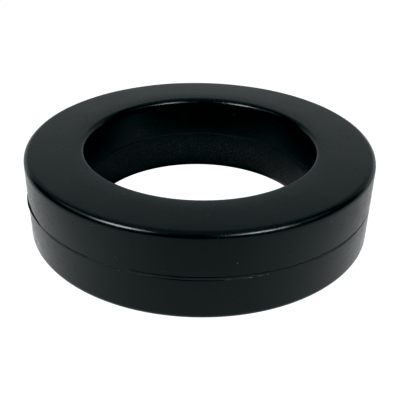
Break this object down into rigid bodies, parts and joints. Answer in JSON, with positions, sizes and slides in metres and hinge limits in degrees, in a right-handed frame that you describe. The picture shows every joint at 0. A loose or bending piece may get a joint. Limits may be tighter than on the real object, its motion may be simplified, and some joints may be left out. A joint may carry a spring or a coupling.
{
  "type": "toilet seal ring",
  "caption": "Thick black sponge-rubber seal ring with a large plain bore, flat faces, rounded rims and a cemented joint line round its middle.",
  "frame": {"origin": "centre of the bottom face, on the bore's axis", "axes": "+Z along the bore, from the bottom face to the top face; the ring is round, so +X and +Y are any two directions across it"},
  "size_m": [0.1404, 0.1404, 0.0345],
  "materials": {
    "sponge_rubber": "satin",
    "rubber_cement": "satin"
  },
  "bodies": {
    "root": {"upper_half_ring": "sponge_rubber", "lower_half_ring": "sponge_rubber", "bond_film": "rubber_cement"}
  },
  "joints": []
}
